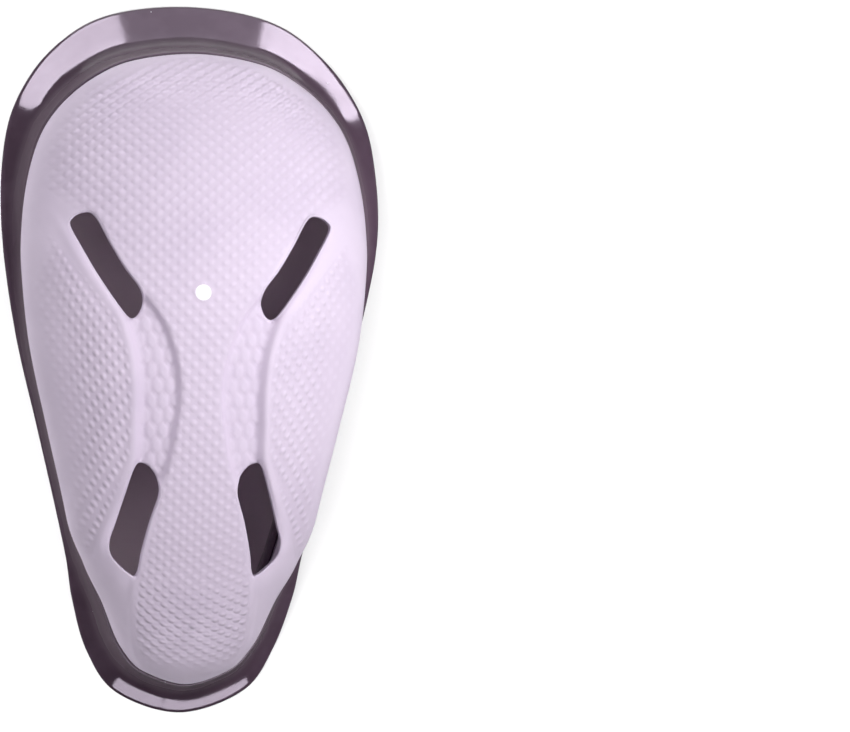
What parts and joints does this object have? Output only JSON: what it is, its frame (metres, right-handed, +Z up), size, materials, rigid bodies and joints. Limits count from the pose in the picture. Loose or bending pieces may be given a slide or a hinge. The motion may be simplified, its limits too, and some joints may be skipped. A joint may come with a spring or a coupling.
{
  "type": "abdominal guard",
  "caption": "Pear-shaped hard plastic protective cup with vent slots and a flared flexible rim, worn inside a pouch to guard the lower abdomen in sport.",
  "frame": {"origin": "on the ground under the middle of the guard's box, where it lies rim down", "axes": "+X across to the wearer's side, +Y along towards the wide end, +Z up out of the crown of the shell"},
  "size_m": [0.0886, 0.17, 0.0482],
  "materials": {
    "white_plastic": "moulded hard plastic with a fine raised grip texture",
    "grey_rubber": "smooth glossy thermoplastic rubber"
  },
  "bodies": {
    "root": {"shell": "white_plastic", "rim": "grey_rubber"}
  },
  "joints": []
}
